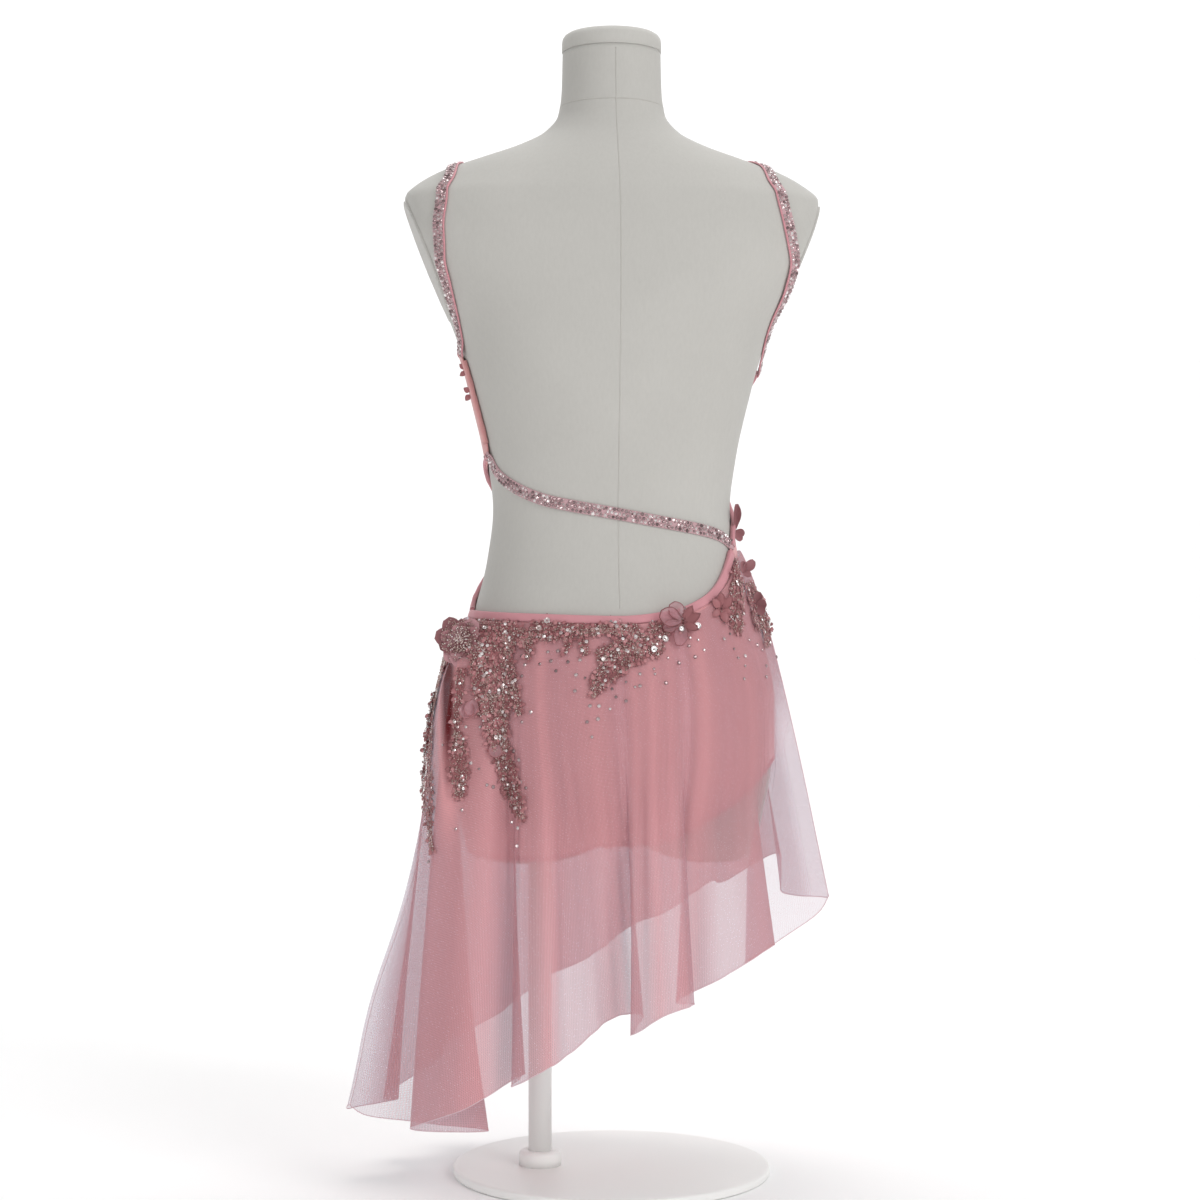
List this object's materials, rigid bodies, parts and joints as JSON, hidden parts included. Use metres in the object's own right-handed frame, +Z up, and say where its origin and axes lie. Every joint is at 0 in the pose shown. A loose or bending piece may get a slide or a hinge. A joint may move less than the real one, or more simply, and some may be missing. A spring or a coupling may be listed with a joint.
{
  "type": "lyrical dance dress on dress form",
  "caption": "Sheer asymmetric backless dance dress with jewelled straps and lace, worn by a limbless dress form on a pole stand.",
  "frame": {"origin": "centre of the base plate's underside, on the form's centre line, at floor level", "axes": "+X to the wearer's right, +Y to the wearer's front, +Z up; the back faces -Y"},
  "size_m": [0.4556, 0.359, 1.0755],
  "materials": {
    "form_cloth": "fine linen cover, stretched smooth",
    "form_trim": "smooth matte cap",
    "painted_steel": "white powder coat",
    "stretch_pink": "matte stretch jersey",
    "sheer_pink": "sheer glitter mesh",
    "stoned_pink": "elastic set with faceted stones",
    "lace_pink": "corded lace with beads and sequins",
    "petal_pink": "stiffened satin petals"
  },
  "bodies": {
    "root": {"form_torso": "form_cloth", "form_arm_plate_right": "form_trim", "form_arm_plate_left": "form_trim", "form_neck_cap": "form_trim", "stand_base": "painted_steel", "stand_pole": "painted_steel", "stand_collar": "painted_steel", "bodice_front": "stretch_pink", "brief_back": "stretch_pink", "brief_front": "stretch_pink", "brief_gusset": "stretch_pink", "strap_left": "stoned_pink", "strap_right": "stoned_pink", "strap_back": "stoned_pink", "side_binding_left": "stretch_pink", "back_waist_binding": "stretch_pink", "skirt_back": "sheer_pink", "skirt_front": "sheer_pink", "lace_left_hip": "lace_pink", "lace_back_band": "lace_pink", "lace_back_drop": "lace_pink", "lace_right_run": "lace_pink", "lace_right_hip": "lace_pink", "lace_tail_outer": "lace_pink", "lace_tail_middle": "lace_pink", "lace_tail_inner": "lace_pink", "flower_side_top": "petal_pink", "flower_side_low": "petal_pink", "flower_hip_right": "petal_pink", "flower_back_right": "petal_pink", "flower_left_hip": "petal_pink", "flower_bodice_left": "petal_pink"}
  },
  "joints": []
}
